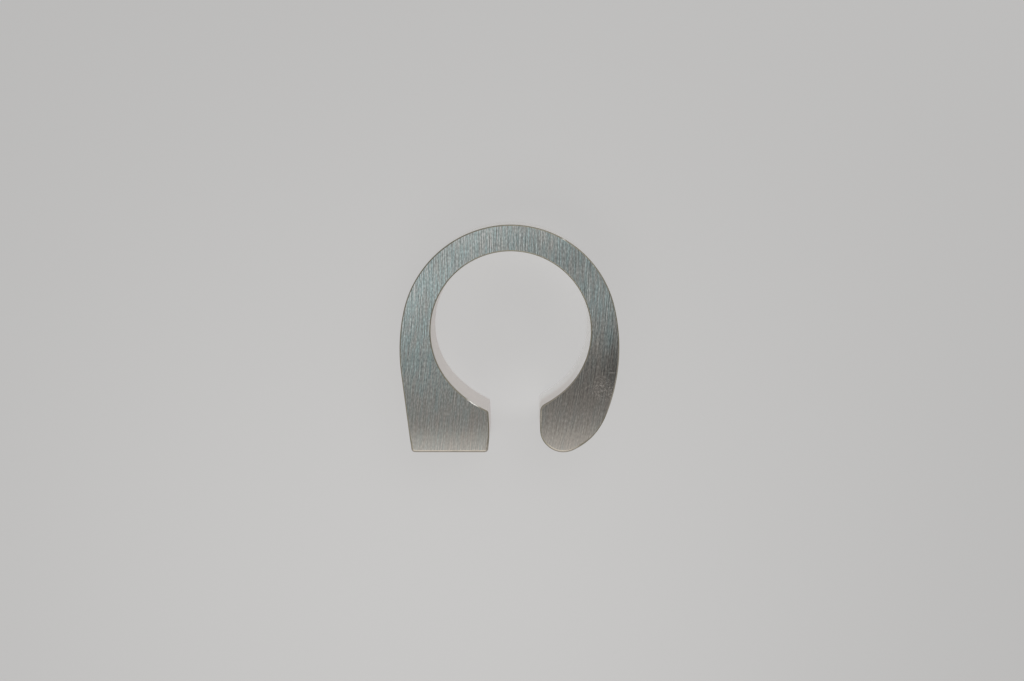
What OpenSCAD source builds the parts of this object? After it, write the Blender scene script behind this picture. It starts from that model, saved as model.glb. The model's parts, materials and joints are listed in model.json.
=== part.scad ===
// Asymmetric open ring, sawn from one thick silver plate and lying on its back face.
// The finger hole's axis is +Z and passes through the origin. The back face is at z = 0,
// the brushed front face looks up, and +Y points from the gap to the top of the arch.
// The outline is a chain of tangent arcs. Directions are in degrees from +X.

/* [Finger hole] */
// Diameter of the finger hole
bore_d = 17; // [14:0.1:19]

/* [Plate] */
// Depth of the plate, along the finger
plate_depth = 8; // [4.5:0.5:12]
// Thickness of the band over the top of the arch
band_wall = 2.8; // [2.2:0.1:4]
// Height of the feet below the finger hole's lowest point
foot_height = 4.55; // [4:0.05:5.2]

/* [Square leg] */
// How much larger the shoulder's radius is than the crown's
shoulder_gain = 0.4; // [0:0.1:1]
// How much larger the waist's radius is than the crown's
waist_gain = 8.7; // [5:0.1:14]
// How far the flank leans in towards the foot, in degrees
flank_lean = 7; // [4:0.5:10]
// Distance from the finger hole's axis to the face across the gap
block_reach = 2.3; // [1.5:0.1:3]
// Radius of the slight bow of that face
block_bow_r = 20; // [12:1:60]
// Radius of the two foot corners
foot_corner_r = 0.4; // [0.2:0.05:0.8]
// Radius of the lip between that face and the finger hole
block_lip_r = 0.35; // [0.2:0.05:0.6]

/* [Toe leg] */
// How much larger the right flank's radius is than the crown's
flank_gain = 8; // [6:0.5:11]
// Radius of the rounded toe
toe_r = 2.5; // [2:0.1:2.7]
// Radius of the lip between the toe's face and the finger hole
toe_lip_r = 0.9; // [0.3:0.1:1.1]

/* [Hidden] */
$fn = 180;

bore_r = bore_d / 2;
crown_r = bore_r + band_wall;
foot_drop = bore_r + foot_height;

// Directions in which one arc of the outline gives way to the next
crown_start = 14;
crown_end = 100;
shoulder_end = 168;
flank_normal = 180 + flank_lean;
haunch_start = -64;
haunch_end = -22;

// The hole eases outwards past these directions. Each easing arc starts a hair
// inside the hole's edge, so that it crosses that edge instead of grazing it.
ease_left_at = 222;
ease_right_at = -52;
ease_left_r = bore_r + 3.4;
ease_right_r = bore_r + 5;
ease_hair = 0.015;

// Longest chord of an arc, and the largest turn from one chord to the next
chord_max = 0.5;
turn_max = 7.5;

function along(angle) = [cos(angle), sin(angle)];
function direction(v) = atan2(v[1], v[0]);

// Points of an arc, from one direction to another
function arc_points(centre, r, from, to) =
    let (steps = max(ceil(abs(to - from) / turn_max), ceil(abs(to - from) * PI / 180 * r / chord_max)))
    [for (i = [0:steps]) centre + r * along(from + (to - from) * i / steps)];

// Centre of the arc that follows another one tangentially in the given direction
function next_centre(centre, r, next_r, angle) = centre + (r - next_r) * along(angle);

// Lower point at the given x, or rightmost point at the given y, of a circle
function below(centre, r, x) = [x, centre[1] - sqrt(r * r - pow(x - centre[0], 2))];
function right_of(centre, r, y) = [centre[0] + sqrt(r * r - pow(y - centre[1], 2)), y];

// Lower one of the two points that lie at r1 from c1 and at r2 from c2
function lower_meeting(c1, r1, c2, r2) =
    let (
        span = norm(c2 - c1),
        run = (r1 * r1 - r2 * r2 + span * span) / (2 * span),
        rise = sqrt(r1 * r1 - run * run),
        u = (c2 - c1) / span,
        side = u[0] < 0 ? 1 : -1
    )
    c1 + run * u + side * rise * [-u[1], u[0]];

// Crown, shoulder and waist, then the flank, which is straight down to the foot
crown_c = [0, 0];
shoulder_r = crown_r + shoulder_gain;
shoulder_c = next_centre(crown_c, crown_r, shoulder_r, crown_end);
waist_r = crown_r + waist_gain;
waist_c = next_centre(shoulder_c, shoulder_r, waist_r, shoulder_end);
flank_h = waist_c * along(flank_normal) + waist_r;

// Foot of the square leg
foot_corner_y = foot_corner_r - foot_drop;
foot_corner_x = (flank_h - foot_corner_r - foot_corner_y * sin(flank_normal)) / cos(flank_normal);
foot_corner_c = [foot_corner_x, foot_corner_y];
bow_c = [-block_reach - block_bow_r, (block_lip_r - foot_height) / 2 - bore_r];
foot_tip_c = right_of(bow_c, block_bow_r - foot_corner_r, foot_corner_y);

// Right flank, haunch and toe. The haunch's radius sets the toe down level with the foot.
flank_r = crown_r + flank_gain;
flank_c = next_centre(crown_c, crown_r, flank_r, crown_start);
haunch_r = (toe_r - foot_drop - flank_c[1] - flank_r * sin(haunch_end) + toe_r * sin(haunch_start))
    / (sin(haunch_start) - sin(haunch_end));
haunch_c = next_centre(flank_c, flank_r, haunch_r, haunch_end);
toe_c = next_centre(haunch_c, haunch_r, toe_r, haunch_start);
toe_reach = toe_c[0] - toe_r;

// Easing arcs of the finger hole, and the two lips where they meet the gap's faces
ease_left_c = (bore_r - ease_hair - ease_left_r) * along(ease_left_at);
ease_right_c = (bore_r - ease_hair - ease_right_r) * along(ease_right_at);
block_lip_c = lower_meeting(ease_left_c, ease_left_r + block_lip_r, bow_c, block_bow_r - block_lip_r);
toe_lip_c = below(ease_right_c, ease_right_r + toe_lip_r, toe_reach + toe_lip_r);

outline = concat(
    arc_points(toe_c, toe_r, -180, haunch_start),
    arc_points(haunch_c, haunch_r, haunch_start, haunch_end),
    arc_points(flank_c, flank_r, haunch_end, crown_start),
    arc_points(crown_c, crown_r, crown_start, crown_end),
    arc_points(shoulder_c, shoulder_r, crown_end, shoulder_end),
    arc_points(waist_c, waist_r, shoulder_end, flank_normal),
    arc_points(foot_corner_c, foot_corner_r, flank_normal, 270),
    arc_points(foot_tip_c, foot_corner_r, 270, 360 + direction(foot_tip_c - bow_c)),
    arc_points(bow_c, block_bow_r, direction(foot_tip_c - bow_c), direction(block_lip_c - bow_c)),
    arc_points(block_lip_c, block_lip_r, direction(block_lip_c - bow_c), direction(ease_left_c - block_lip_c)),
    arc_points(ease_left_c, ease_left_r, 360 + direction(block_lip_c - ease_left_c), ease_left_at),
    arc_points(ease_right_c, ease_right_r, ease_right_at, direction(toe_lip_c - ease_right_c)),
    arc_points(toe_lip_c, toe_lip_r, direction(ease_right_c - toe_lip_c), 180)
);

module ring() {
    color("silver")
        difference() {
            linear_extrude(plate_depth) polygon(outline);
            translate([0, 0, -1]) cylinder(r = bore_r, h = plate_depth + 2);
        }
}

ring();
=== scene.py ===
"""The looks of an asymmetric open ring of brushed silver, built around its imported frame.

The ring lies on its back face. The finger hole's axis is +Z, and +Y points from the gap to the top
of the arch. Lengths are in metres. The ring's sizes are written as millimetres times MM, and the
room's, such as the floor and the lights, in plain metres.
"""

import json
import logging
import math
from dataclasses import dataclass
from enum import Enum
from functools import reduce

import bpy
import numpy as np
from mathutils import Matrix, Vector


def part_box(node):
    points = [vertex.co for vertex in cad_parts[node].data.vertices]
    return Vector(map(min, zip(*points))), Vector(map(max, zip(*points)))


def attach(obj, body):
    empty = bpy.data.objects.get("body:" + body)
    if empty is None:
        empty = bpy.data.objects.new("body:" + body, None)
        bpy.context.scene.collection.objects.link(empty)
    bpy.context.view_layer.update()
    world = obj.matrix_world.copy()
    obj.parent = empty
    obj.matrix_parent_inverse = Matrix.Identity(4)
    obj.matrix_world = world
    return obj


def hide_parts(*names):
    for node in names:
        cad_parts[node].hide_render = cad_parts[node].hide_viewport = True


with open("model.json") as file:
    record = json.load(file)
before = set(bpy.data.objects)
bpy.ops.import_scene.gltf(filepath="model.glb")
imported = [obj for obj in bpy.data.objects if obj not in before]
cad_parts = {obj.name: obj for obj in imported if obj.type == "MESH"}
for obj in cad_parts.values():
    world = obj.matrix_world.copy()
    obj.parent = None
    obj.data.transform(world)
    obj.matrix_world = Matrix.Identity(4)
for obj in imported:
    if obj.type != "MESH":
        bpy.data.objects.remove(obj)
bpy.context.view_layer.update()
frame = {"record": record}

log = logging.getLogger("ring")

MM = 0.001

# At a pace of one, the longest step along the outline, and its largest turn in degrees.
CHORD = 0.4 * MM
TURN = 6.0

Array = np.ndarray
Socket = bpy.types.NodeSocket
Plug = Socket | float | tuple[float, ...]
Pair = tuple[float, float]
Place = tuple[float, float, float]
Colour = tuple[float, float, float, float]


def along(angle: float) -> Array:
    """Returns the unit vector in a direction given in degrees from +X."""
    return np.array((math.cos(math.radians(angle)), math.sin(math.radians(angle))))


def heading(vector: Array) -> float:
    """Returns a vector's direction in degrees from +X, above -180 and up to 180."""
    return math.degrees(math.atan2(vector[1], vector[0]))


def ease(value: Array, low: float, high: float) -> Array:
    """Returns a smooth step: 0 where the value is low, 1 where it is high, level at both ends."""
    share = np.clip((value - low) / (high - low), 0.0, 1.0)
    return share * share * (3.0 - 2.0 * share)


def next_centre(centre: Array, radius: float, next_radius: float, angle: float) -> Array:
    """Returns the next tangent arc's centre: this one moved along the join by the radii's difference."""
    return centre + (radius - next_radius) * along(angle)


def lower_meeting(first: Array, first_r: float, second: Array, second_r: float) -> Array:
    """Finds the lower of the two points where two circles meet.

    The point's foot on the line of centres comes from the difference of the squared radii, and its
    height above that line from what is left of the first one.

    Args:
        first: First centre.
        first_r: Radius of the first circle.
        second: Second centre.
        second_r: Radius of the second circle.

    Returns:
        The lower meeting point.
    """
    span = float(np.linalg.norm(second - first))
    run = (first_r**2 - second_r**2 + span**2) / (2 * span)
    rise = math.sqrt(first_r**2 - run**2)
    ahead = (second - first) / span
    across = np.array((-ahead[1], ahead[0]))
    points = (first + run * ahead + rise * across, first + run * ahead - rise * across)
    return min(points, key=lambda point: point[1])


def loop_quads(rows: int, count: int) -> Array:
    """Numbers the faces between closed loops of points, which lie in rows.

    A face goes from a point to the next one in its loop, to that one's neighbour in the next row,
    and back to the first one's neighbour there.

    Args:
        rows: Number of loops.
        count: Points in each loop.

    Returns:
        The faces, four numbers each, row by row.
    """
    row, column = np.meshgrid(np.arange(rows - 1), np.arange(count), indexing="ij")
    beside = (column + 1) % count
    corners = ((row, column), (row, beside), (row + 1, beside), (row + 1, column))
    return np.stack([r * count + c for r, c in corners], axis=-1).reshape(-1, 4)


def put_in_scene(name: str, data: bpy.types.ID) -> bpy.types.Object:
    """Puts a new object into the scene.

    Args:
        name: The object's name.
        data: Its mesh, light or camera.

    Returns:
        The object.
    """
    made = bpy.data.objects.new(name, data)
    bpy.context.scene.collection.objects.link(made)
    return made


@dataclass(frozen=True)
class Arc:
    """A round stretch of the outline.

    Attributes:
        centre: Centre of the arc.
        radius: Radius of the arc.
        start: Direction of its first point, in degrees from +X.
        end: Direction of its last point.
        hollow: True where the metal lies outside the arc, as around the finger hole.
    """

    centre: Array
    radius: float
    start: float
    end: float
    hollow: bool = False

    def pace(self) -> float:
        """Returns how many steps the arc takes, by its length or by its turn, whichever is more."""
        sweep = math.radians(abs(self.end - self.start))
        return max(sweep * self.radius / CHORD, sweep / math.radians(TURN))

    def at(self, share: Array) -> tuple[Array, Array]:
        """Works out points along the arc.

        A point is the centre plus the radius times the unit vector of its direction, and the
        direction runs evenly from start to end.

        Args:
            share: Shares of the way along the arc.

        Returns:
            The points and the outward normals.
        """
        angle = np.radians(self.start + (self.end - self.start) * share)
        spoke = np.column_stack((np.cos(angle), np.sin(angle)))
        return self.centre + self.radius * spoke, -spoke if self.hollow else spoke


@dataclass(frozen=True)
class Straight:
    """A straight stretch of the outline, with the direction in which the metal faces."""

    start: Array
    end: Array
    facing: Array

    def pace(self) -> float:
        """Returns how many steps the stretch takes by its length. It has no turn."""
        return float(np.linalg.norm(self.end - self.start)) / CHORD

    def at(self, share: Array) -> tuple[Array, Array]:
        """Returns the points and outward normals at shares of the way along the stretch."""
        points = self.start + share[:, None] * (self.end - self.start)
        return points, np.tile(self.facing, (len(share), 1))


Stretches = list[Arc | Straight]


def walk(stretches: Stretches, steps: int) -> tuple[Array, Array]:
    """Samples a chain of stretches, closer together where it turns sharply.

    Each stretch has a pace, the steps that it would take by itself. The samples are spaced evenly
    in the running total of the paces.

    Args:
        stretches: The stretches, each starting where the last one ends.
        steps: Number of steps, one less than the number of samples.

    Returns:
        The points and the outward normals.
    """
    paces = np.array([stretch.pace() for stretch in stretches])
    edges = np.concatenate(([0.0], np.cumsum(paces)))
    places = np.linspace(0.0, edges[-1], steps + 1)
    which = np.clip(np.searchsorted(edges, places, side="right") - 1, 0, len(stretches) - 1)
    share = (places - edges[which]) / paces[which]
    points, normals = np.empty((steps + 1, 2)), np.empty((steps + 1, 2))
    for number, stretch in enumerate(stretches):
        here = which == number
        points[here], normals[here] = stretch.at(share[here])
    return points, normals


@dataclass
class PlateOutline:
    """The plate's outline, a chain of tangent arcs from the square foot over the arch to the toe.

    Directions are in degrees from +X, seen from the centre of the arc that they end.

    Attributes:
        bore_r: Radius of the finger hole.
        crown_r: Outer radius over the top of the arch.
        foot_drop: Depth of both feet below the hole's axis.
        shoulder_gain: How much larger the shoulder's radius is than the crown's.
        waist_gain: How much larger the waist's radius is than the crown's.
        flank_lean: How far the left flank leans in towards the foot, in degrees.
        block_reach: Distance from the hole's axis to the square foot's face across the gap.
        block_bow_r: Radius of the slight bow of that face.
        foot_corner_r: Radius of the two foot corners.
        block_lip_r: Radius of the lip between that face and the hole.
        flank_gain: How much larger the right flank's radius is than the crown's.
        toe_r: Radius of the rounded toe.
        toe_lip_r: Radius of the lip between the toe's face and the hole.
        ease_left_gain: How much larger the easing arc's radius is than the hole's, on the left.
        ease_right_gain: The same on the right.
        crown_start: Direction in which the crown gives way to the right flank.
        crown_end: Direction in which it gives way to the shoulder.
        shoulder_end: Direction in which the shoulder gives way to the waist.
        haunch_start: Direction in which the haunch gives way to the toe.
        haunch_end: Direction in which it gives way to the right flank.
        ease_left_at: Direction in which the hole gives way to its left easing arc.
        ease_right_at: Direction in which it gives way to its right easing arc.
        toe_end: Half of the toe's arc that closes the band, in degrees.
    """

    bore_r: float
    crown_r: float
    foot_drop: float
    shoulder_gain: float = 0.4 * MM
    waist_gain: float = 8.7 * MM
    flank_lean: float = 7.0
    block_reach: float = 2.3 * MM
    block_bow_r: float = 20.0 * MM
    foot_corner_r: float = 0.4 * MM
    block_lip_r: float = 0.35 * MM
    flank_gain: float = 8.0 * MM
    toe_r: float = 2.5 * MM
    toe_lip_r: float = 0.9 * MM
    ease_left_gain: float = 3.4 * MM
    ease_right_gain: float = 5.0 * MM
    crown_start: float = 14.0
    crown_end: float = 100.0
    shoulder_end: float = 168.0
    haunch_start: float = -64.0
    haunch_end: float = -22.0
    ease_left_at: float = 222.0
    ease_right_at: float = -52.0
    toe_end: float = 10.0

    def outer_edge(self) -> Stretches:
        """Chains the stretches from the foot's left corner over the arch to the toe.

        The foot corner's centre lies one corner radius inside the flank and above the sole.

        Returns:
            The stretches, in order.
        """
        crown = np.zeros(2)
        shoulder_r = self.crown_r + self.shoulder_gain
        shoulder = next_centre(crown, self.crown_r, shoulder_r, self.crown_end)
        waist_r = self.crown_r + self.waist_gain
        waist = next_centre(shoulder, shoulder_r, waist_r, self.shoulder_end)
        flank_normal = 180.0 + self.flank_lean
        facing = along(flank_normal)
        corner_y = self.foot_corner_r - self.foot_drop
        reach = float(waist @ facing) + waist_r - self.foot_corner_r
        corner = np.array(((reach - corner_y * facing[1]) / facing[0], corner_y))
        return [
            Arc(corner, self.foot_corner_r, 270.0, flank_normal),
            Straight(corner + self.foot_corner_r * facing, waist + waist_r * facing, facing),
            Arc(waist, waist_r, flank_normal, self.shoulder_end),
            Arc(shoulder, shoulder_r, self.shoulder_end, self.crown_end),
            Arc(crown, self.crown_r, self.crown_end, self.crown_start),
            *self._toe_leg(),
        ]

    def inner_edge(self) -> Stretches:
        """Chains the stretches from the foot's right corner round the finger hole to the toe.

        The block's bow is level with the middle of the block's face. The corner and the lip touch
        the bow from inside, and the lip also touches the hole's left easing arc from outside. The
        toe's lip touches the toe's straight face and the hole's right easing arc.

        Returns:
            The stretches, in order.
        """
        bow_y = (self.block_lip_r - (self.foot_drop - self.bore_r)) / 2 - self.bore_r
        bow = np.array((-self.block_reach - self.block_bow_r, bow_y))
        tip_y = self.foot_corner_r - self.foot_drop
        tip_x = bow[0] + math.sqrt((self.block_bow_r - self.foot_corner_r) ** 2 - (tip_y - bow[1]) ** 2)
        tip = np.array((tip_x, tip_y))
        ease_left_r = self.bore_r + self.ease_left_gain
        ease_right_r = self.bore_r + self.ease_right_gain
        ease_left = -self.ease_left_gain * along(self.ease_left_at)
        ease_right = -self.ease_right_gain * along(self.ease_right_at)
        within_bow = self.block_bow_r - self.block_lip_r
        lip = lower_meeting(ease_left, ease_left_r + self.block_lip_r, bow, within_bow)
        toe = self._toe_leg()[-1].centre
        toe_lip_x = toe[0] - self.toe_r + self.toe_lip_r
        toe_lip_fall = math.sqrt((ease_right_r + self.toe_lip_r) ** 2 - (toe_lip_x - ease_right[0]) ** 2)
        toe_lip = np.array((toe_lip_x, ease_right[1] - toe_lip_fall))
        left = np.array((-1.0, 0.0))
        return [
            Arc(tip, self.foot_corner_r, -90.0, heading(tip - bow)),
            Arc(bow, self.block_bow_r, heading(tip - bow), heading(lip - bow)),
            Arc(lip, self.block_lip_r, heading(lip - bow), heading(ease_left - lip)),
            Arc(ease_left, ease_left_r, 360.0 + heading(lip - ease_left), self.ease_left_at, hollow=True),
            Arc(np.zeros(2), self.bore_r, self.ease_left_at, self.ease_right_at, hollow=True),
            Arc(ease_right, ease_right_r, self.ease_right_at, heading(toe_lip - ease_right), hollow=True),
            Arc(toe_lip, self.toe_lip_r, heading(ease_right - toe_lip), 180.0),
            Straight(toe_lip + self.toe_lip_r * left, toe + self.toe_r * left, left),
            Arc(toe, self.toe_r, -180.0, -90.0 - self.toe_end),
        ]

    def toe_close(self) -> Stretches:
        """Returns the short arc that closes the band under the toe."""
        return [Arc(self._toe_leg()[-1].centre, self.toe_r, self.toe_end - 90.0, -90.0 - self.toe_end)]

    def foot_close(self) -> Stretches:
        """Chains the straight bottom of the square foot, from its right corner to its left one.

        Returns:
            That one stretch.
        """
        start = self.inner_edge()[0].at(np.zeros(1))[0][0]
        end = self.outer_edge()[0].at(np.zeros(1))[0][0]
        return [Straight(start, end, np.array((0.0, -1.0)))]

    def _toe_leg(self) -> tuple[Arc, Arc, Arc]:
        """Works out the toe leg's outside. The haunch's radius sets the toe down level with the foot.

        Returns:
            The arcs of the right flank, the haunch and the toe.
        """
        flank_r = self.crown_r + self.flank_gain
        flank = next_centre(np.zeros(2), self.crown_r, flank_r, self.crown_start)
        high, low = along(self.haunch_end)[1], along(self.haunch_start)[1]
        drop = self.toe_r - self.foot_drop - flank[1]
        haunch_r = (drop - flank_r * high + self.toe_r * low) / (low - high)
        haunch = next_centre(flank, flank_r, haunch_r, self.haunch_end)
        toe = next_centre(haunch, haunch_r, self.toe_r, self.haunch_start)
        return (
            Arc(flank, flank_r, self.crown_start, self.haunch_end),
            Arc(haunch, haunch_r, self.haunch_end, self.haunch_start),
            Arc(toe, self.toe_r, self.haunch_start, self.toe_end - 90.0),
        )


class Surface(Enum):
    """The three kinds of surface on the ring, with their material numbers."""

    FACE = 0
    WALL = 1
    RIM = 2


@dataclass(frozen=True)
class Spot:
    """An oval spot on the ring, where something changes.

    Attributes:
        x: Its middle, across the ring.
        y: Its middle, from gap to arch.
        across: Its reach from the middle, along its own X.
        along: The same along its own Y.
        amount: The change in its middle, in the measure that its user states.
        turn: How far it is turned about Z, in degrees.
    """

    x: float
    y: float
    across: float
    along: float
    amount: float
    turn: float = 0.0


def fill_ramp(ramp: bpy.types.ColorRamp, stops: list[Pair]) -> None:
    """Sets the stops of a new ramp, which has two to start with.

    Args:
        ramp: The ramp.
        stops: Pairs of a place from 0 to 1 and a grey tone, in rising order.
    """
    for number, (place, tone) in enumerate(stops):
        element = ramp.elements[number] if number < 2 else ramp.elements.new(place)
        element.position = place
        element.color = (tone, tone, tone, 1.0)


class NodeBench:
    """The nodes of a material or a world, with short calls that add and join them.

    Attributes:
        owner: The material or world.
        place: The place on a piece in metres, or the direction in a world.
        x: Its part along X.
        y: Its part along Y.
        z: Its part along Z.
    """

    def __init__(self, owner: bpy.types.Material | bpy.types.World, coordinate: str = "Object") -> None:
        """Clears the nodes of a new material or world, and adds its place.

        Args:
            owner: The material or world.
            coordinate: The texture coordinate that the place is read from.
        """
        self.owner = owner
        owner.use_nodes = True
        owner.node_tree.nodes.clear()
        self.place = self.node("ShaderNodeTexCoord", {}).outputs[coordinate]
        self.x, self.y, self.z = self.node("ShaderNodeSeparateXYZ", {"Vector": self.place}).outputs

    def node(self, kind: str, inputs: dict[str | int, Plug], **settings: object) -> bpy.types.Node:
        """Adds a node.

        Args:
            kind: The node's type.
            inputs: What goes into its sockets, each a value or another node's output.
            settings: The node's own properties.

        Returns:
            The new node.
        """
        tree = self.owner.node_tree
        made = tree.nodes.new(kind)
        for name, value in settings.items():
            setattr(made, name, value)
        for key, value in inputs.items():
            if isinstance(value, Socket):
                tree.links.new(value, made.inputs[key])
            else:
                made.inputs[key].default_value = value
        return made

    def sum_up(self, operation: str, *values: Plug) -> Socket:
        """Returns the result of a Math node on one to three values."""
        return self.node("ShaderNodeMath", dict(enumerate(values)), operation=operation).outputs[0]

    def vector(self, operation: str, *values: Plug) -> bpy.types.Node:
        """Returns a Vector Math node on one or two vectors."""
        return self.node("ShaderNodeVectorMath", dict(enumerate(values)), operation=operation)

    def times(self, value: Plug, factor: Plug) -> Socket:
        """Returns a value times a factor."""
        return self.sum_up("MULTIPLY", value, factor)

    def scaled(self, value: Plug, factor: Plug, added: Plug) -> Socket:
        """Returns a value times a factor, plus what is added."""
        return self.sum_up("MULTIPLY_ADD", value, factor, added)

    def rise(self, value: Plug, low: float, high: float) -> Socket:
        """Returns a smooth step that is 0 where the value is low and 1 where it is high."""
        inputs = {"Value": value, "From Min": low, "From Max": high}
        return self.node("ShaderNodeMapRange", inputs, interpolation_type="SMOOTHSTEP").outputs[0]

    def zone(self, *steps: tuple[Plug, float, float]) -> Socket:
        """Returns the product of smooth steps, each a value and the places where it is 0 and 1."""
        return reduce(self.times, [self.rise(*step) for step in steps])

    def cells(self, place: Plug, size: Place, turn: float = 0.0, centre: Place = (0.0, 0.0, 0.0)) -> Socket:
        """Counts a place in the cells of a pattern.

        Args:
            place: The place in metres.
            size: A cell's size along the pattern's own axes.
            turn: How far the pattern is turned about Z, in degrees.
            centre: Where the pattern's origin is.

        Returns:
            The place in cells.
        """
        turned = (0.0, 0.0, math.radians(turn))
        inputs = {"Vector": place, "Location": centre, "Rotation": turned, "Scale": size}
        return self.node("ShaderNodeMapping", inputs, vector_type="TEXTURE").outputs[0]

    def noise(self, place: Plug, detail: float = 2.0) -> Socket:
        """Returns noise about 0.5, one swing to a cell."""
        inputs = {"Vector": place, "Scale": 1.0, "Detail": detail, "Roughness": 0.55}
        return self.node("ShaderNodeTexNoise", inputs).outputs[0]

    def swing(self, value: Plug, amount: float) -> Socket:
        """Returns noise about 0.5 turned into a factor about 1."""
        return self.scaled(value, 2.0 * amount, 1.0 - amount)

    def reach(self, place: Plug) -> Socket:
        """Returns how far a place is from the Z axis through its origin."""
        flat = self.vector("MULTIPLY", place, (1.0, 1.0, 0.0)).outputs[0]
        return self.vector("LENGTH", flat).outputs["Value"]

    def within(self, spot: Spot, core: float = 0.0) -> Socket:
        """Returns 1 in a spot's core, a share of its reach, fading to 0 at its edge."""
        inside = self.cells(self.place, (spot.across, spot.along, 1.0), spot.turn, (spot.x, spot.y, 0.0))
        return self.rise(self.reach(inside), 1.0, core)

    def blend(self, share: Plug, first: Plug, second: Plug, how: str = "MIX") -> Socket:
        """Returns a mix of two colours."""
        inputs = {0: share, 6: first, 7: second}
        return self.node("ShaderNodeMix", inputs, data_type="RGBA", blend_type=how).outputs[2]

    def bump(self, height: Plug, strength: float, depth: float) -> Socket:
        """Returns the surface's direction, tilted by the slope of a height from 0 to 1."""
        inputs = {"Strength": strength, "Distance": depth, "Height": height}
        return self.node("ShaderNodeBump", inputs).outputs[0]

    def ramp(self, value: Plug, stops: list[Pair]) -> Socket:
        """Reads a tone off a smooth curve through a few stops.

        Args:
            value: The value to look up.
            stops: Pairs of a value and its tone, in rising order.

        Returns:
            The tone.
        """
        low, high = stops[0][0], stops[-1][0]
        span = {"Value": value, "From Min": low, "From Max": high}
        made = self.node("ShaderNodeValToRGB", {"Fac": self.node("ShaderNodeMapRange", span).outputs[0]})
        made.color_ramp.interpolation = "CARDINAL"
        fill_ramp(made.color_ramp, [((at - low) / (high - low), tone) for at, tone in stops])
        return made.outputs[0]

    def finish(self, inputs: dict[str | int, Plug]) -> bpy.types.Material:
        """Closes a material with its shader and output.

        Args:
            inputs: What goes into the shader's sockets.

        Returns:
            The material.
        """
        shader = self.node("ShaderNodeBsdfPrincipled", inputs)
        self.node("ShaderNodeOutputMaterial", {"Surface": shader.outputs[0]})
        return self.owner


@dataclass(frozen=True)
class StrokeLayer:
    """One layer of brush strokes.

    Attributes:
        width: A stroke's width.
        length: Its length.
        detail: Its finer detail.
        strength: How much the layer lightens and darkens the face.
        groove: Distance from a groove's painted lit side to its painted shaded side, or 0 for plain strokes.
    """

    width: float
    length: float
    detail: float
    strength: float
    groove: float = 0.0


@dataclass(frozen=True)
class Station:
    """The face's broad tone at one height, on the square leg's side and on the toe leg's side: painted light
    and shade.
    """

    height: float
    square_leg: float
    toe_leg: float


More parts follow.
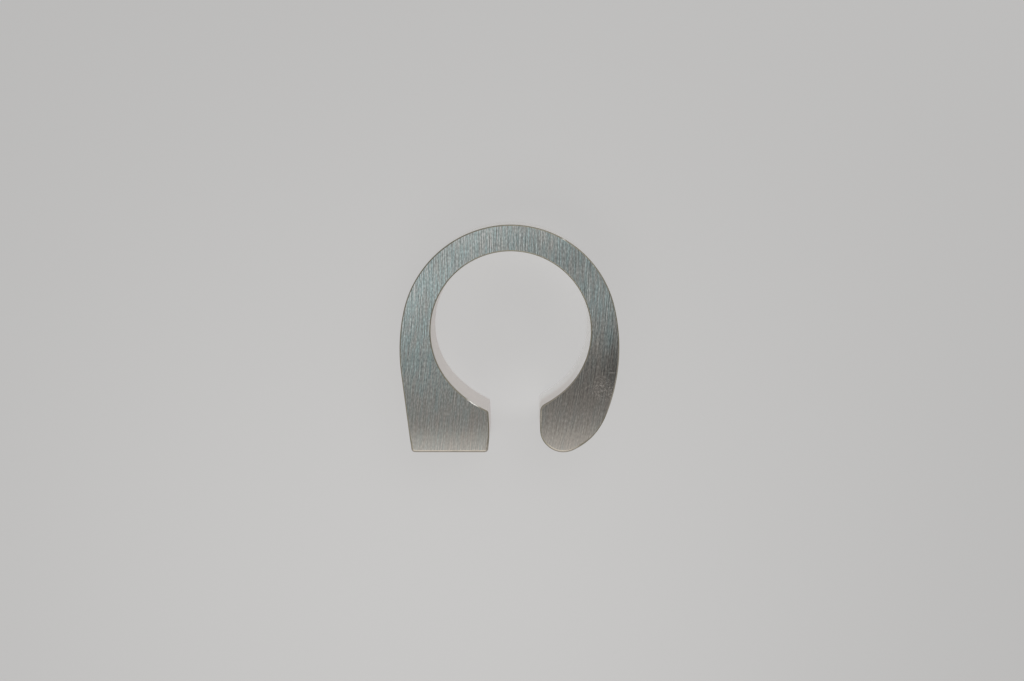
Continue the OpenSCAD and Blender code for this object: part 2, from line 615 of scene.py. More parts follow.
@dataclass(frozen=True)
class BrushedFace:
    """The brushed finish of the flat faces: fine strokes from gap to arch over a darkened metal, whose broad
    tone is painted light and shade.

    Attributes:
        stations: The broad tone from the soles up to the crown, painted light and shade.
        painted_shade_and_light: Soft patches of painted shade, and one of painted light. The amount is the
            share of the tone that they take away, and below zero it lightens.
        layers: The layers of strokes, finest first.
        scratches: Single scratches that show. The amount is what they add to the tone, and below
            zero it darkens.
        patch: The patch of crossing scratches on the toe leg, with what those add to the tone.
        teal: Tint of the bluest strokes on the arch.
        grey: Tint of the plainest strokes there.
        warm: Tint of the feet.
        darkest: Least tone that the strokes leave.
        roughness: Middle roughness.
        anisotropy: How much the strokes stretch a highlight sideways.
        legs: Where the square leg's tone and tint give way to the toe leg's, from left to right.
    """

    # The stations paint light and shade into the colour: lighter over the arch and at the soles, darker down
    # the legs, most on the toe leg.
    stations: tuple[Station, ...] = (
        Station(-12.7 * MM, 0.515, 0.50),
        Station(-10.5 * MM, 0.35, 0.37),
        Station(-8.5 * MM, 0.32, 0.27),
        Station(-5.0 * MM, 0.39, 0.225),
        Station(-2.0 * MM, 0.47, 0.32),
        Station(3.0 * MM, 0.64, 0.475),
        Station(5.7 * MM, 0.735, 0.51),
        Station(8.3 * MM, 0.728, 0.505),
        Station(11.0 * MM, 0.885, 0.7),
    )
    # Painted shade on the toe leg's flank and over the crown, and a painted highlight on the square leg's
    # shoulder.
    painted_shade_and_light: tuple[Spot, ...] = (
        Spot(11.8 * MM, -3.6 * MM, 3.4 * MM, 6.0 * MM, 0.36),
        Spot(1.2 * MM, 10.6 * MM, 4.5 * MM, 4.0 * MM, 0.13),
        Spot(-11.5 * MM, 3.5 * MM, 3.0 * MM, 5.0 * MM, -0.14),
    )
    layers: tuple[StrokeLayer, ...] = (
        StrokeLayer(0.11 * MM, 2.8 * MM, 1.0, 0.5, groove=0.11 * MM),
        StrokeLayer(0.11 * MM, 0.36 * MM, 1.0, 0.68),
        StrokeLayer(0.3 * MM, 6.0 * MM, 1.0, 0.12),
        StrokeLayer(4.0 * MM, 5.0 * MM, 2.0, 0.07),
    )
    scratches: tuple[Spot, ...] = (
        Spot(10.75 * MM, -4.4 * MM, 0.62 * MM, 0.06 * MM, 0.22),
        Spot(10.6 * MM, -4.0 * MM, 0.25 * MM, 0.06 * MM, 0.11, turn=-10.0),
        Spot(9.85 * MM, -5.75 * MM, 0.4 * MM, 0.07 * MM, 0.14, turn=31.0),
        Spot(8.1 * MM, -5.95 * MM, 0.75 * MM, 0.09 * MM, 0.05, turn=31.0),
        Spot(8.25 * MM, -6.15 * MM, 0.5 * MM, 0.08 * MM, -0.05, turn=31.0),
        Spot(-10.0 * MM, 2.4 * MM, 0.4 * MM, 0.06 * MM, 0.2, turn=52.0),
    )
    patch: Spot = Spot(9.9 * MM, -6.1 * MM, 1.8 * MM, 1.8 * MM, 0.15)
    teal: Colour = (0.87, 1.045, 1.04, 1.0)
    grey: Colour = (0.94, 1.02, 1.005, 1.0)
    warm: Colour = (1.07, 1.0, 0.915, 1.0)
    darkest: float = 0.05
    roughness: float = 0.42
    anisotropy: float = 0.7
    legs: Pair = (-7.0 * MM, 9.0 * MM)

    def material(self) -> bpy.types.Material:
        """Joins tone, tint, strokes and scratches into one metal.

        The tone is the broad painted light and shade times the strokes, plus the scratches, and the
        colour is the tint times that. The finest strokes also tilt the surface and sway its roughness.

        Returns:
            The material.
        """
        bench = NodeBench(bpy.data.materials.new("brushed_face"))
        bent = self._bent(bench)
        layers = [self._layer(bench, bent, layer) for layer in self.layers]
        tone = bench.times(self._painted_tone(bench), self._relief(bench, layers))
        tone = bench.sum_up("ADD", tone, self._scratches(bench))
        tone = bench.sum_up("MAXIMUM", tone, self.darkest)
        tangent = bench.node("ShaderNodeTangent", {}, direction_type="UV_MAP", uv_map="strokes")
        return bench.finish({
            "Base Color": bench.blend(1.0, self._tint(bench, bent), tone, "MULTIPLY"),
            "Metallic": 1.0,
            "Roughness": bench.times(bench.swing(layers[0], amount=0.25), self.roughness),
            "Anisotropic": self.anisotropy,
            "Tangent": tangent.outputs[0],
            "Normal": bench.bump(layers[0], strength=0.5, depth=0.01 * MM),
        })

    def _bent(self, bench: NodeBench) -> Socket:
        """Shifts the place along X, so that a stroke runs down and a little to the left.

        The shift is the lean times the square root of the bend squared plus the depth below the
        shoulders squared, which leans fast to one slope and keeps it. On the toe leg, the toe's
        lean times the square of the depth below the toe leg's top adds to it.

        Args:
            bench: The material's bench.

        Returns:
            The shifted place.
        """
        lean, bend, shoulders = 0.105, 3.0 * MM, 5.0 * MM
        toe_lean, toe_leg_top = 6.0, -3.0 * MM
        depth = bench.sum_up("MINIMUM", bench.sum_up("SUBTRACT", bench.y, shoulders), 0.0)
        reach = bench.sum_up("SQRT", bench.scaled(depth, depth, bend * bend))
        lower = bench.sum_up("MINIMUM", bench.sum_up("SUBTRACT", bench.y, toe_leg_top), 0.0)
        toe_leg = bench.times(bench.rise(bench.x, -2.0 * MM, 3.0 * MM), toe_lean)
        toe_shift = bench.times(bench.times(lower, lower), toe_leg)
        shift = bench.node("ShaderNodeCombineXYZ", {"X": bench.scaled(reach, lean, toe_shift)})
        return bench.vector("ADD", bench.place, shift.outputs[0]).outputs[0]

    def _layer(self, bench: NodeBench, bent: Socket, layer: StrokeLayer) -> Socket:
        """Makes one layer's noise. The two faces of the plate are eight cells apart.

        In a layer of grooves, the same noise one groove further on is taken away from it. Each
        groove so has a painted lit side and a painted shaded side in the colour, and the layer makes no
        broad stripes.

        Args:
            bench: The material's bench.
            bent: The shifted place.
            layer: The layer.

        Returns:
            The noise, about 0.5.
        """
        size = (layer.width, layer.length, 1.0 * MM)
        light = bench.noise(bench.cells(bent, size), layer.detail)
        if not layer.groove:
            return light
        # In the colour this paints a lit side and a shaded side on each groove; the bump also tilts the
        # surface by it.
        dark = bench.noise(bench.cells(bent, size, centre=(layer.groove, 0.0, 0.0)), layer.detail)
        return bench.sum_up("ADD", bench.sum_up("SUBTRACT", light, dark), 0.5)

    def _relief(self, bench: NodeBench, layers: list[Socket]) -> Socket:
        """Turns the strokes into a factor: a base near one plus the sum of the layers' swings.

        Part of the sum's square is added, which makes the light strokes sharper than the dark
        ones. The base makes up for what that adds. The swings weaken towards the feet.

        Args:
            bench: The material's bench.
            layers: The layers' noises.

        Returns:
            The factor.
        """
        base, sharpness, at_feet = 0.98, 0.4, 0.5
        total: Plug = -sum(layer.strength for layer in self.layers)
        for value, layer in zip(layers, self.layers):
            total = bench.scaled(value, 2.0 * layer.strength, total)
        total = bench.times(total, bench.scaled(total, sharpness, 1.0))
        fade = bench.scaled(bench.rise(bench.y, -12.0 * MM, -3.0 * MM), 1.0 - at_feet, at_feet)
        return bench.scaled(total, fade, base)

    def _painted_tone(self, bench: NodeBench) -> Socket:
        """Makes the broad tone, which is painted light and shade.

        One ramp goes up each leg through its stations, and the two are blended from left to
        right. Each painted shade or highlight multiplies that by one less its amount, fading out to its
        reach.

        Args:
            bench: The material's bench.

        Returns:
            The tone.
        """
        square_leg = bench.ramp(bench.y, [(station.height, station.square_leg) for station in self.stations])
        toe_leg = bench.ramp(bench.y, [(station.height, station.toe_leg) for station in self.stations])
        tone = bench.blend(bench.rise(bench.x, *self.legs), square_leg, toe_leg)
        for shade in self.painted_shade_and_light:
            tone = bench.times(tone, bench.scaled(bench.within(shade), -shade.amount, 1.0))
        return tone

    def _tint(self, bench: NodeBench, bent: Socket) -> Socket:
        """Makes the tint: teal and grey strokes on the arch, which turn warm towards the feet.

        The warm share grows down both legs, sooner on the toe leg, and a little over the crown. It
        sways with the strokes and with broader bands of them.

        Args:
            bench: The material's bench.
            bent: The shifted place.

        Returns:
            The tint.
        """
        most, at_crown, at_toe_leg = 0.8, 0.15, 0.2
        by_stroke, by_band = -0.6, 0.8
        strokes = bench.noise(bench.cells(bent, (0.17 * MM, 2.0 * MM, 1.1 * MM)), 1.0)
        bands = bench.noise(bench.cells(bent, (0.9 * MM, 4.0 * MM, 1.1 * MM)), 1.0)
        cool = bench.blend(bench.rise(strokes, 0.36, 0.64), self.grey, self.teal)
        crown = bench.times(bench.rise(bench.y, 4.0 * MM, 9.0 * MM), at_crown)
        square_leg = bench.scaled(bench.rise(bench.y, -0.5 * MM, -13.0 * MM), most, crown)
        toe_leg = bench.scaled(bench.rise(bench.y, 2.5 * MM, -7.0 * MM), most, at_toe_leg)
        share = bench.blend(bench.rise(bench.x, *self.legs), square_leg, toe_leg)
        share = bench.scaled(bench.sum_up("SUBTRACT", strokes, 0.5), by_stroke, share)
        share = bench.scaled(bench.sum_up("SUBTRACT", bands, 0.5), by_band, share)
        share = bench.sum_up("MAXIMUM", bench.sum_up("MINIMUM", share, 1.0), 0.0)
        return bench.blend(share, cool, self.warm)

    def _scratches(self, bench: NodeBench) -> Socket:
        """Makes what the scratches add to the tone.

        The single ones are strongest on their middle line and fade to nothing at an ellipse. In
        the patch, two sets of short ticks cross, and both fade out towards the patch's edge.

        Args:
            bench: The material's bench.

        Returns:
            What is added.
        """
        tick_size = (0.3 * MM, 0.11 * MM, 1.0 * MM)
        tick_turns = (38.0, -42.0)
        total: Plug = 0.0
        for stroke in self.scratches:
            total = bench.scaled(bench.within(stroke, core=0.3), stroke.amount, total)
        inside = bench.within(self.patch, core=0.4)
        for turn in tick_turns:
            ticks = bench.noise(bench.cells(bench.place, tick_size, turn), 1.0)
            bright = bench.times(bench.rise(ticks, 0.52, 0.70), inside)
            total = bench.scaled(bright, self.patch.amount, total)
        return total


@dataclass(frozen=True)
class WallColour:
    """The walls' colour: faintly tarnished, with painted light on the toe leg's side of the finger hole and
    over the crown.

    Attributes:
        tarnished: Colour of the walls as a whole.
        painted_lit_wall: Colour of the painted light on the toe leg's side of the finger hole.
        crown_share: How much painted light the outside takes over the top of the arch, from 0 to 1.
        lip_share: How much of the painted light the front half of the hole's wall loses beside the toe's
            lip, which paints shade there.
        hole: Distances from the axis where the ring's outside ends and where the hole's wall starts.
    """

    tarnished: Colour = (0.825, 0.78, 0.75, 1.0)
    painted_lit_wall: Colour = (0.985, 0.98, 0.97, 1.0)
    crown_share: float = 0.55
    lip_share: float = 0.9
    hole: Pair = (11.0 * MM, 10.0 * MM)

    def in_hole(self, bench: NodeBench) -> Socket:
        """Returns 1 on the finger hole's own wall and 0 on the ring's outside."""
        return bench.rise(bench.reach(bench.place), *self.hole)

    def at(self, bench: NodeBench) -> Socket:
        """Makes the colour at each place.

        The share of painted light is the larger of the toe leg's side of the hole and the crown. The front
        of the wall beside the toe's lip takes away from the first, which paints shade there.

        Args:
            bench: The material's bench.

        Returns:
            The colour.
        """
        # Painted light on the crown's outside and on the toe leg's side of the hole, and painted shade by
        # the toe's lip.
        crown = bench.times(bench.rise(bench.y, 6.0 * MM, 10.0 * MM), self.crown_share)
        toe_side = bench.times(bench.rise(bench.x, -3.0 * MM, 2.0 * MM), self.in_hole(bench))
        lip = bench.zone((bench.y, -3.0 * MM, -7.0 * MM), (bench.z, 2.5 * MM, 5.5 * MM))
        lip = bench.times(lip, -self.lip_share)
        painted_lit_wall = bench.scaled(toe_side, lip, bench.sum_up("MAXIMUM", toe_side, crown))
        return bench.blend(painted_lit_wall, self.tarnished, self.painted_lit_wall)


@dataclass(frozen=True)
class SatinWall:
    """The smooth satin finish of the walls, sawn and then sanded along the outline.

    Attributes:
        colour: Colour of the walls.
        line: Size of a sanding line on the piece's UV map, which is in millimetres.
        cloud: Size of a faint cloud.
        metal: How metallic the wall is. Its haze of tarnish is not.
        roughness: Middle roughness.
    """

    colour: WallColour = WallColour()
    line: Place = (5.0, 0.12, 1.0)
    cloud: float = 3.0 * MM
    metal: float = 0.7
    roughness: float = 0.42

    def material(self) -> bpy.types.Material:
        """Joins the wall's colour, its sanding lines and its clouds.

        Returns:
            The material.
        """
        bench = NodeBench(bpy.data.materials.new("satin_wall"))
        strokes = bench.node("ShaderNodeUVMap", {}, uv_map="strokes").outputs[0]
        lines = bench.noise(bench.cells(strokes, self.line))
        clouds = bench.noise(bench.cells(bench.place, (self.cloud,) * 3))
        shade = bench.times(bench.swing(lines, amount=0.08), bench.swing(clouds, amount=0.05))
        return bench.finish({
            "Base Color": bench.blend(1.0, self.colour.at(bench), shade, "MULTIPLY"),
            "Metallic": self.metal,
            "Roughness": bench.times(bench.swing(clouds, amount=0.2), self.roughness),
            "Normal": bench.bump(lines, strength=0.25, depth=0.006 * MM),
        })


@dataclass(frozen=True)
class WornAndLitRim:
    """The rounded rims: a thin line of tarnish over the arch, lighter along the toe leg and feet from wear
    and a painted highlight.

    Attributes:
        tarnish: Colour of the dark line.
        rubbed_and_lit: Colour of the lighter rims, partly wear and partly a painted highlight.
        bright: Colour of the painted highlights at the glints.
        wall: Colour of the hole's back rim, which carries no tarnish and looks like its wall.
        sole_share: How much of the lighter colour the soles take, from 0 to 1.
        flank_share: The same on the toe leg's flank.
        lip_share: The same on the toe's lip.
        least: The same on the rest.
        cloud: Size of a patch of wear.
        glints: The spots where a highlight is painted. The amount is how brightly, from 0 to 1.
        roughness: Roughness of the rim.
        polish: How much less rough it is where it shines.
    """

    tarnish: Colour = (0.25, 0.236, 0.178, 1.0)
    rubbed_and_lit: Colour = (0.56, 0.51, 0.45, 1.0)
    bright: Colour = (0.98, 0.96, 0.92, 1.0)
    wall: WallColour = WallColour()
    sole_share: float = 0.65
    flank_share: float = 0.5
    lip_share: float = 0.45
    least: float = 0.12
    cloud: float = 1.3 * MM
    glints: tuple[Spot, ...] = (
        Spot(-4.0 * MM, -7.62 * MM, 1.0 * MM, 1.0 * MM, 1.0),
        Spot(5.6 * MM, 9.8 * MM, 0.3 * MM, 0.3 * MM, 0.45),
    )
    roughness: float = 0.34
    polish: float = 0.16

    def material(self) -> bpy.types.Material:
        """Blends tarnish, the lighter colour of wear and painted highlight, the wall and the glints.

        The share of the lighter colour is the largest of the soles', the flank's, the lip's and the least
        one, times patches of wear.

        Returns:
            The material.
        """
        bench = NodeBench(bpy.data.materials.new("worn_and_lit_rim"))
        x, y, in_hole = bench.x, bench.y, self.wall.in_hole(bench)
        soles = bench.zone((y, -11.6 * MM, -12.5 * MM), (x, 8.0 * MM, 6.8 * MM))
        flank = bench.zone((x, 8.8 * MM, 10.2 * MM), (y, 0.0, -4.0 * MM), (y, -9.5 * MM, -8.0 * MM))
        lip = bench.times(bench.zone((y, 0.0, -6.0 * MM), (x, 0.0, 3.0 * MM)), in_hole)
        # The lighter share is wear and also a painted highlight on the soles, the toe leg's flank and the
        # toe's lip.
        wear_and_highlight_share: Plug = self.least
        for zone, share in ((soles, self.sole_share), (flank, self.flank_share), (lip, self.lip_share)):
            wear_and_highlight_share = bench.sum_up("MAXIMUM", wear_and_highlight_share, bench.times(zone, share))
        patches = bench.noise(bench.cells(bench.place, (self.cloud,) * 3), 3.0)
        wear_and_highlight_share = bench.sum_up("MINIMUM", bench.times(wear_and_highlight_share, bench.swing(patches, amount=0.6)), 1.0)
        back = bench.times(bench.rise(bench.z, 5.0 * MM, 3.0 * MM), in_hole)
        colour = bench.blend(back, bench.blend(wear_and_highlight_share, self.tarnish, self.rubbed_and_lit), self.wall.at(bench))
        rough: Plug = self.roughness
        # Each glint paints a highlight into the colour, and also polishes the rim there.
        for glint in self.glints:
            shine = bench.times(bench.within(glint, core=0.1), glint.amount)
            colour = bench.blend(shine, colour, self.bright)
            rough = bench.scaled(shine, -self.polish, rough)
        return bench.finish({"Base Color": colour, "Metallic": 1.0, "Roughness": rough})


@dataclass
class RingBody:
    """The whole ring, one piece of metal: two flat faces, the walls between them and their rims.

    Attributes:
        outline: The plate's outline.
        depth: Depth of the plate, along the finger.
        rim_r: Radius of the rounding between a face and the walls, over the arch.
        flank_rim_r: The same down the toe leg's flank.
        sole_rim_r: The same at both soles.
        worn_spots: Where that radius differs: the rounder toe's lip, and the sharper spot beside
            the block that shines. The amount is the radius there.
        steps: Steps along the band, from the foot to the toe.
        across: Steps across the band.
        rim_rows: Rows round each rim.
        wall_rows: Rows down the walls.
    """

    outline: PlateOutline
    depth: float
    rim_r: float = 0.125 * MM
    flank_rim_r: float = 0.15 * MM
    sole_rim_r: float = 0.26 * MM
    worn_spots: tuple[Spot, ...] = (
        Spot(3.6 * MM, -8.1 * MM, 2.4 * MM, 2.4 * MM, 0.19 * MM),
        Spot(-4.1 * MM, -7.5 * MM, 2.0 * MM, 2.0 * MM, 0.10 * MM),
    )
    steps: int = 520
    across: int = 12
    rim_rows: int = 5
    wall_rows: int = 10

    def build(self) -> bpy.types.Object:
        """Builds the ring's mesh from one sweep round the outline and two patches.

        Returns:
            The finished object, at the origin.
        """
        loop, facing = self._loop()
        sides, side_normals, rows = self._sides(loop, facing)
        inner = self._patch(loop - self._rim(loop)[:, None] * facing)[1:-1, 1:-1].reshape(-1, 2)
        count, inside = len(loop), len(inner)
        vertices = np.concatenate((
            sides,
            np.column_stack((inner, np.full(inside, self.depth))),
            np.column_stack((inner, np.zeros(inside))),
        ))
        up = np.array((0.0, 0.0, 1.0))
        normals = np.concatenate((side_normals, np.tile(up, (inside, 1)), np.tile(-up, (inside, 1))))
        front = self._quads(self._grid(0, len(sides), count))
        back = self._quads(self._grid((rows - 1) * count, len(sides) + inside, count))[:, ::-1]
        flat = np.concatenate((front, back))
        side_faces = loop_quads(rows, count)
        strokes = np.concatenate((
            self._side_strokes(loop, sides[side_faces][:, :, 2]),
            vertices[flat][:, :, :2] / MM,
        ))
        surfaces = np.concatenate((self._side_surfaces(rows, count), np.full(len(flat), Surface.FACE.value)))
        return self._mesh(vertices, np.concatenate((side_faces, flat)), normals, strokes, surfaces)

    def dress(self, piece: bpy.types.Object) -> None:
        """Gives the ring its three finishes, in the order of Surface."""
        for finish in (BrushedFace(), SatinWall(), WornAndLitRim()):
            piece.data.materials.append(finish.material())

    def _loop(self) -> tuple[Array, Array]:
        """Samples the closed outline: outer edge, toe, inner edge backwards, then the foot's bottom.

        Returns:
            The points and the outward normals.
        """
        outer = walk(self.outline.outer_edge(), self.steps)
        toe = walk(self.outline.toe_close(), self.across)
        inner = walk(self.outline.inner_edge(), self.steps)
        foot = walk(self.outline.foot_close(), self.across)
        parts = [(a, b[1:-1], c[::-1], d[1:-1]) for a, b, c, d in zip(outer, toe, inner, foot)]
        return np.concatenate(parts[0]), np.concatenate(parts[1])

    def _sides(self, loop: Array, facing: Array) -> tuple[Array, Array, int]:
        """Carries the rim and wall profile round the outline.

        The profile's angle runs from 0, up, to 90 degrees, outwards, over the front rim, stays
        there down the wall, and goes on to 180 degrees over the back rim. The level is 1 on the
        front rim, falls evenly down the wall and is -1 on the back rim. A point is inset by the
        rim's radius times one minus the angle's sine. Its height is half the depth, plus the level
        times half the depth less the radius, plus the radius times the angle's cosine.

        Args:
            loop: Points of the outline.
            facing: Outward normals there.

        Returns:
            The points, their normals and the number of rows.
        """
        quarter = np.linspace(0.0, 90.0, self.rim_rows + 1)
        angle = np.radians(np.concatenate((quarter, np.full(self.wall_rows - 1, 90.0), 90.0 + quarter)))
        end = np.ones(self.rim_rows + 1)
        level = np.concatenate((end, np.linspace(1.0, -1.0, self.wall_rows + 1)[1:-1], -end))
        rim = self._rim(loop)[None, :, None]
        outward, upward = np.sin(angle)[:, None, None], np.cos(angle)[:, None, None]
        points = loop[None] - rim * (1.0 - outward) * facing[None]
        height = self.depth / 2 + (self.depth / 2 - rim) * level[:, None, None] + rim * upward
        normals = np.concatenate((outward * facing[None], np.broadcast_to(upward, height.shape)), axis=2)
        return np.concatenate((points, height), axis=2).reshape(-1, 3), normals.reshape(-1, 3), len(angle)

    def _rim(self, loop: Array) -> Array:
        """Works out the rim's radius.

        It is larger down the toe leg's flank, has its own value at the worn spots, and is largest
        at the soles. Each is blended in over its own stretch.

        Args:
            loop: Points of the outline.

        Returns:
            The radius at each point.
        """
        x, y = loop.T
        flank = ease(x, 8.8 * MM, 10.2 * MM) * ease(y, 2.0 * MM, -3.0 * MM)
        rim = self.rim_r + (self.flank_rim_r - self.rim_r) * flank
        for spot in self.worn_spots:
            away = np.hypot((x - spot.x) / spot.across, (y - spot.y) / spot.along)
            rim = rim + (spot.amount - rim) * ease(away, 1.0, 0.0)
        return rim + (self.sole_rim_r - rim) * ease(y, -11.2 * MM, -12.6 * MM)

    def _patch(self, edge: Array) -> Array:
        """Fills a flat face with a grid whose four sides lie on the face's own edge.

        Each point is the blend across the band of the outer and the inner edge, plus the blend
        along the band of the foot's and the toe's end, less the blend of the four corners.

        Args:
            edge: Points round the face.

        Returns:
            The grid, from foot to toe and from the outer edge to the inner one.
        """
        n, m = self.steps, self.across
        outer, toe, inner = edge[: n + 1], edge[n : n + m + 1], edge[n + m : 2 * n + m + 1][::-1]
        foot = np.concatenate((edge[2 * n + m :], edge[:1]))[::-1]
        u = np.linspace(0.0, 1.0, n + 1)[:, None, None]
        v = np.linspace(0.0, 1.0, m + 1)[None, :, None]
        across = (1 - v) * outer[:, None] + v * inner[:, None]
        lengthways = (1 - u) * foot[None] + u * toe[None]
        corners = (1 - u) * ((1 - v) * outer[0] + v * inner[0]) + u * ((1 - v) * outer[-1] + v * inner[-1])
        return across + lengthways - corners

    def _grid(self, edge_start: int, inner_start: int, count: int) -> Array:
        """Numbers a patch's vertices, with its sides taken from a loop of the sweep.

        Args:
            edge_start: Number of the loop's first vertex.
            inner_start: Number of the first vertex inside the patch.
            count: Vertices in the loop.

        Returns:
            The numbers, in the order of the patch's grid.
        """
        n, m = self.steps, self.across
        grid = np.empty((n + 1, m + 1), int)
        grid[1:-1, 1:-1] = inner_start + np.arange((n - 1) * (m - 1)).reshape(n - 1, m - 1)
        grid[:, 0] = edge_start + np.arange(n + 1)
        grid[-1, :] = edge_start + n + np.arange(m + 1)
        grid[:, -1] = edge_start + n + m + np.arange(n + 1)[::-1]
        grid[0, :] = edge_start + (2 * n + 2 * m - np.arange(m + 1)) % count
        return grid

    def _quads(self, grid: Array) -> Array:
        """Returns a grid's faces, which look up where it lies with its outer edge on the left."""
        corners = (grid[:-1, :-1], grid[:-1, 1:], grid[1:, 1:], grid[1:, :-1])
        return np.stack(corners, axis=-1).reshape(-1, 4)

    def _side_strokes(self, loop: Array, height: Array) -> Array:
        """Lays the UV map round the sides, in millimetres along the outline and up the wall.

        Args:
            loop: Points of the outline.
            height: Height of each corner of each side face.

        Returns:
            Each corner's place on the map.
        """
        closed = np.concatenate((loop, loop[:1]))
        run = np.concatenate(([0.0], np.cumsum(np.linalg.norm(np.diff(closed, axis=0), axis=1))))
        here = np.tile(np.arange(len(loop)), len(height) // len(loop))
        length = np.stack((run[here], run[here + 1], run[here + 1], run[here]), axis=-1)
        return np.stack((length, height), axis=-1) / MM

    def _side_surfaces(self, rows: int, count: int) -> Array:
        """Tells the rims at both ends of the profile from the walls between them.

        Args:
            rows: Rows of the sweep.
            count: Vertices in a row.

        Returns:
            Each side face's material number.
        """
        row = np.arange(rows - 1)
        on_rim = (row < self.rim_rows) | (row >= rows - 1 - self.rim_rows)
        return np.repeat(np.where(on_rim, Surface.RIM.value, Surface.WALL.value), count)

    def _mesh(self, vertices: Array, faces: Array, normals: Array, strokes: Array,
              surfaces: Array) -> bpy.types.Object:
        """Puts the arrays into a new object's mesh.

        Args:
            vertices: The points.
            faces: The numbers of each face's corners.
            normals: Each point's normal.
            strokes: Each corner's place on the UV map.
            surfaces: Each face's material number.

        Returns:
            The object.
        """
        mesh = bpy.data.meshes.new("brushed_ring")
        mesh.from_pydata(vertices.tolist(), [], faces.tolist())
        mesh.polygons.foreach_set("material_index", surfaces.astype(np.int32))
        mesh.polygons.foreach_set("use_smooth", np.ones(len(faces), bool))
        mesh.uv_layers.new(name="strokes").uv.foreach_set("vector", strokes.astype(np.float32).ravel())
        mesh.normals_split_custom_set_from_vertices(normals.tolist())
        mesh.update()
        return put_in_scene("brushed_ring", mesh)


@dataclass(frozen=True)
class PaleBoard:
    """The finish of the floor: a pale opal board with a faint sheen that glows as if lit through from
    beneath, with a painted pool of light and a painted ring of light round the finger hole.

    Attributes:
        colour: Share of the light from above that it gives back.
        cloud: Size of a faint cloud.
        glow: Radiance of the board's own glow in the middle of the painted pool of light.
        tint: Colour of that light.
        painted_pool_centre: Middle of the painted pool of light.
        fall: Share of the glow that the painted pool loses away from its middle.
        fall_over: Distance over which it is lost.
        painted_hole_glow: Share of the glow added as a painted ring of light round the finger hole's wall,
            in place of the light that the wall throws back.
        painted_hole_glow_in: Distances from the hole's axis where that light starts and where it is full.
        painted_hole_glow_out: Distances under the ring where it has faded again and where it is still full.
        roughness: Roughness of the sheen.
    """

    colour: Colour = (0.12, 0.119, 0.118, 1.0)
    cloud: float = 30.0 * MM
    glow: float = 0.455
    tint: Colour = (1.0, 0.99, 0.98, 1.0)
    painted_pool_centre: Place = (-6.0 * MM, -20.0 * MM, 0.0)
    fall: float = 0.13
    fall_over: float = 80.0 * MM
    painted_hole_glow: float = 0.07
    painted_hole_glow_in: Pair = (2.0 * MM, 8.5 * MM)
    painted_hole_glow_out: Pair = (11.5 * MM, 9.0 * MM)
    roughness: float = 0.42

    def material(self) -> bpy.types.Material:
        """Joins the board's colour and its glow.

        The glow falls away from the middle of the painted pool of light by a smooth step of the distance,
        and rises in a painted ring of light round the wall of the finger hole.

        Returns:
            The material.
        """
        bench = NodeBench(bpy.data.materials.new("pale_board"))
        clouds = bench.noise(bench.cells(bench.place, (self.cloud,) * 3))
        # A painted pool of light, strongest at its middle.
        away = bench.vector("DISTANCE", bench.place, self.painted_pool_centre).outputs["Value"]
        glow = bench.scaled(bench.rise(away, 0.0, self.fall_over), -self.fall * self.glow, self.glow)
        # A painted ring of light round the finger hole's wall, where the floor would lie in the wall's
        # shade.
        reach = bench.reach(bench.place)
        beside = bench.zone((reach, *self.painted_hole_glow_in), (reach, *self.painted_hole_glow_out))
        return bench.finish({
            "Base Color": bench.blend(1.0, self.colour, bench.swing(clouds, amount=0.012), "MULTIPLY"),
            "Roughness": self.roughness,
            "IOR": 1.45,
            "Emission Color": self.tint,
            "Emission Strength": bench.scaled(beside, self.painted_hole_glow * self.glow, glow),
        })


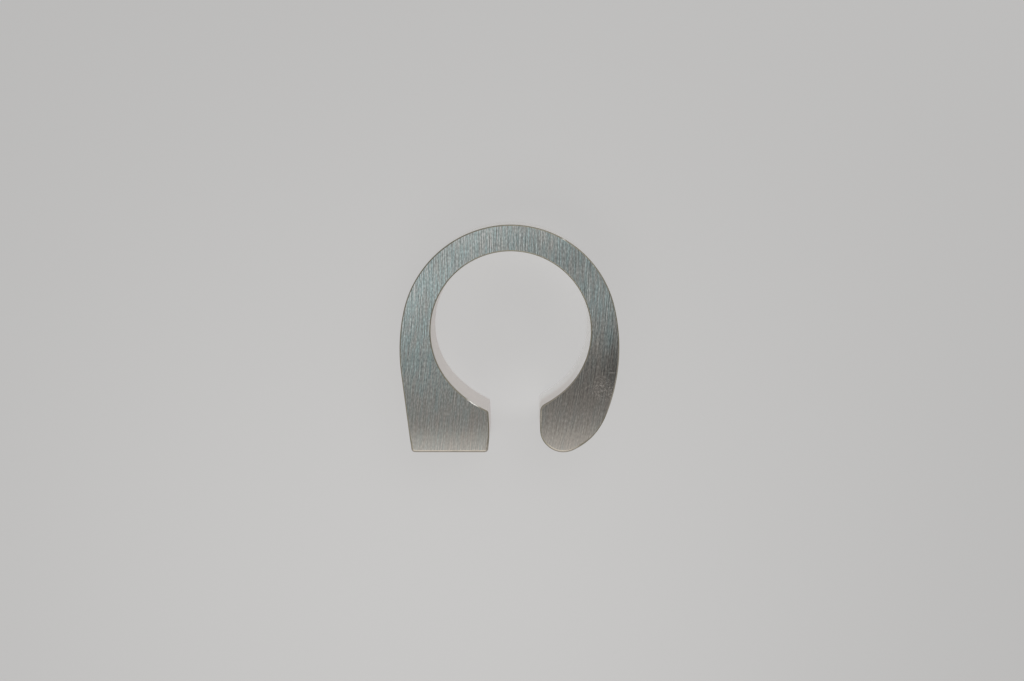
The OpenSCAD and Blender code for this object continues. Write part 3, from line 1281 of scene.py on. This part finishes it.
@dataclass
class Studio:
    """The floor, the soft lights, the pale dome around them and the camera.

    Attributes:
        floor_r: Radius of the round floor.
        floor_gap: How far the floor lies below the ring, so that the two don't share a plane.
        floor_spokes: Points in each of the floor's rings.
        floor_rings: Number of those rings.
        dome: Glow of the soft light all round, as pairs of a direction's height and its glow.
        panel: Width and height of each light panel.
        panel_glow: Radiance of each panel.
        photo_width: Width of the picture, in pixels.
        pixel: Size that a pixel covers at the distance lens_back.
        lens_back: Height of the camera above the front face.
        lens_place: Where the camera stands over the ring, across and along.
        aim: The point of the front face that the camera looks at.
        sensor: Width of the camera's sensor in millimetres.
    """

    floor_r: float = 3.0
    floor_gap: float = 0.01 * MM
    floor_spokes: int = 96
    floor_rings: int = 24
    dome: tuple[Pair, ...] = ((0.0, 0.50), (0.70, 0.50), (0.90, 0.30), (1.0, 0.22))
    panel: Pair = (0.34, 0.20)
    panel_glow: float = 1.7
    photo_width: float = 1024.0
    pixel: float = 0.1052 * MM
    lens_back: float = 136.0 * MM
    lens_place: Pair = (0.9 * MM, 15.8 * MM)
    aim: Pair = (0.14 * MM, -0.94 * MM)
    sensor: float = 36.0

    def lay_floor(self) -> bpy.types.Object:
        """Builds a round floor.

        It is made of rings of points, at distances that grow with the square of the ring's number,
        and a fan that closes the middle.

        Returns:
            The floor.
        """
        count = self.floor_spokes
        angle = np.linspace(0.0, 2.0 * np.pi, count, endpoint=False)
        radius = self.floor_r * (np.arange(1, self.floor_rings + 1) / self.floor_rings) ** 2
        x, y = np.outer(radius, np.cos(angle)), np.outer(radius, np.sin(angle))
        points = np.stack((x, y, np.full_like(x, -self.floor_gap)), axis=-1).reshape(-1, 3)
        middle = np.array(((0.0, 0.0, -self.floor_gap),))
        first = np.arange(count)
        fan = np.column_stack((np.full(count, len(points)), first, (first + 1) % count))
        quads = loop_quads(self.floor_rings, count)[:, ::-1]
        mesh = bpy.data.meshes.new("floor")
        mesh.from_pydata(np.concatenate((points, middle)).tolist(), [], quads.tolist() + fan.tolist())
        floor = put_in_scene("floor", mesh)
        floor.data.materials.append(PaleBoard().material())
        return floor

    def raise_dome(self) -> None:
        """Surrounds the scene with soft light, pale round the sides and darker overhead."""
        bench = NodeBench(bpy.data.worlds.new("dome"), "Generated")
        ramp = bench.node("ShaderNodeValToRGB", {"Fac": bench.z})
        fill_ramp(ramp.color_ramp, list(self.dome))
        sky = bench.node("ShaderNodeBackground", {"Color": ramp.outputs[0]})
        bench.node("ShaderNodeOutputWorld", {"Surface": sky.outputs[0]})
        bpy.context.scene.world = bench.owner

    def hang_light(self, name: str, place: Place, tint: Place) -> None:
        """Hangs a soft panel that looks at the ring.

        Its power is its radiance times pi times its area.

        Args:
            name: The light's name.
            place: Where it hangs.
            tint: Its red, green and blue.
        """
        light = bpy.data.lights.new(name, "AREA")
        light.shape = "RECTANGLE"
        light.size, light.size_y = self.panel
        light.energy = self.panel_glow * math.pi * self.panel[0] * self.panel[1]
        light.color = tint
        hung = put_in_scene(name, light)
        hung.location = place
        hung.rotation_euler = (-Vector(place)).to_track_quat("-Z", "Y").to_euler()

    def light_up(self) -> None:
        """Hangs two soft panels high over the ring: the key past the arch, the fill past the feet.

        They stand nearly in line with the brush strokes, whose gloss spreads sideways, so they
        light the floor inside the finger hole and hardly show in the faces. The key stands to the
        right, over the toe leg's side, because the rims that carry the glints face that way.
        """
        self.hang_light("key", place=(0.10, 0.20, 0.34), tint=(1.0, 1.0, 1.0))
        self.hang_light("fill", place=(-0.06, -0.20, 0.34), tint=(1.0, 0.98, 0.95))

    def set_camera(self, depth: float) -> None:
        """Stands the camera over the ring, at the photograph's angle to its front face.

        The lens is the one that makes a pixel cover the stated size at the stated distance:
        distance over pixel size is the focal length in pixels. The camera's own right is square to
        +Y and to the line of sight, so that +Y is up in the picture.

        Args:
            depth: Height of the ring's front face above the floor.
        """
        camera = bpy.data.cameras.new("camera")
        camera.sensor_width = self.sensor
        camera.lens = self.sensor * self.lens_back / (self.pixel * self.photo_width)
        camera.clip_start, camera.clip_end = 1.0 * MM, 10.0
        stand = put_in_scene("camera", camera)
        stand.location = (*self.lens_place, depth + self.lens_back)
        back = (stand.location - Vector((*self.aim, depth))).normalized()
        right = Vector((0.0, 1.0, 0.0)).cross(back).normalized()
        stand.rotation_euler = Matrix((right, back.cross(right), back)).transposed().to_euler()
        bpy.context.scene.camera = stand


def main() -> None:
    """Builds the ring and the studio, and logs their face counts."""
    logging.basicConfig(level=logging.INFO, format="%(message)s")
    bpy.context.scene.view_settings.view_transform = "Standard"
    low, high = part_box("ring")
    bore = next(mount for mount in frame["record"]["mounts"] if mount["name"] == "finger_bore")
    outline = PlateOutline(bore_r=bore["dims"]["r_mm"] * MM, crown_r=high.y, foot_drop=-low.y)
    body = RingBody(outline, depth=high.z)
    ring = body.build()
    body.dress(ring)
    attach(ring, "root")
    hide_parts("ring")
    log.info("%s: %d faces", ring.name, len(ring.data.polygons))
    studio = Studio()
    floor = studio.lay_floor()
    log.info("%s: %d faces", floor.name, len(floor.data.polygons))
    studio.raise_dome()
    studio.light_up()
    studio.set_camera(depth=high.z)


if __name__ == "__main__":
    main()
